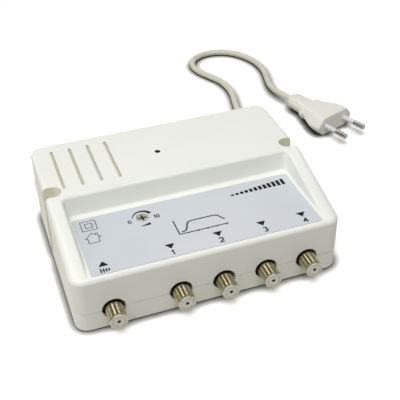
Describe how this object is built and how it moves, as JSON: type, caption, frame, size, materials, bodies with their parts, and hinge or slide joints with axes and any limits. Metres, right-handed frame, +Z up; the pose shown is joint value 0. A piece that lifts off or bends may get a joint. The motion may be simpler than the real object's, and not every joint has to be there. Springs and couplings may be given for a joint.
{
  "type": "tv signal amplifier",
  "caption": "Television aerial amplifier: moulded case with recessed label panel between sloping rims, threaded coaxial sockets, gain trimmer, mains cord and plug.",
  "frame": {"origin": "centre of the case's underside, on the surface it stands on", "axes": "+X along the socket row from the antenna socket to the last television socket, +Y to the back, +Z up"},
  "size_m": [0.2319, 0.287, 0.0465],
  "materials": {
    "case_plastic": "fine satin moulded plastic, warm white",
    "label_film": "printed silver-blue film",
    "board_laminate": "green solder mask",
    "tinned_sheet": "bright tinned steel sheet",
    "nickel": "bright nickel plating",
    "insulator_plastic": "milky plastic",
    "contact_brass": "bright contact metal",
    "component_plastic": "black moulded plastic",
    "rotor_plastic": "grey white plastic",
    "led_lens": "dark tinted lens",
    "core_iron": "dull varnished iron",
    "winding_tape": "amber winding tape",
    "wire_brown": "brown wire insulation",
    "wire_blue": "blue wire insulation",
    "cord_sheath": "smooth off-white sheath",
    "screw_steel": "zinc plated",
    "tie_plastic": "black plastic band",
    "plug_plastic": "fine satin moulded plastic",
    "sleeve_plastic": "pale pin insulation"
  },
  "bodies": {
    "case": {"base_shell": "case_plastic", "top_cover": "case_plastic", "panel_label": "label_film", "circuit_board": "board_laminate", "shield_frame": "tinned_sheet", "shield_lid": "tinned_sheet", "antenna_socket": "nickel", "tv_socket_1": "nickel", "tv_socket_2": "nickel", "tv_socket_3": "nickel", "tv_socket_4": "nickel", "socket_insulators": "insulator_plastic", "socket_contacts": "contact_brass", "gain_trimmer_body": "component_plastic", "power_led": "led_lens", "led_leads": "tinned_sheet", "transformer_core": "core_iron", "transformer_bobbin": "component_plastic", "primary_coil": "winding_tape", "secondary_coil": "winding_tape", "smoothing_capacitor": "component_plastic", "voltage_regulator": "component_plastic", "rectifier_diodes": "component_plastic", "mains_fuse": "component_plastic", "splitter_cores": "core_iron", "amplifier_transistors": "component_plastic", "live_lead": "wire_brown", "neutral_lead": "wire_blue", "cord_gland": "cord_sheath", "case_screws": "screw_steel", "board_screws": "screw_steel", "cord_case_lead": "cord_sheath", "cord_hank": "cord_sheath", "cord_tie": "tie_plastic", "cord_plug_lead": "cord_sheath", "plug_body": "plug_plastic", "plug_pins": "nickel", "plug_pin_sleeves": "sleeve_plastic"},
    "gain_rotor": {"gain_trimmer_rotor": "rotor_plastic"}
  },
  "joints": [
    {"name": "gain_turn", "type": "hinge", "parent": "case", "child": "gain_rotor", "pos_m": [-0.0263, -0.0162, 0.034], "axis": [0, 0, 1], "range_deg": [-120, 120]}
  ]
}
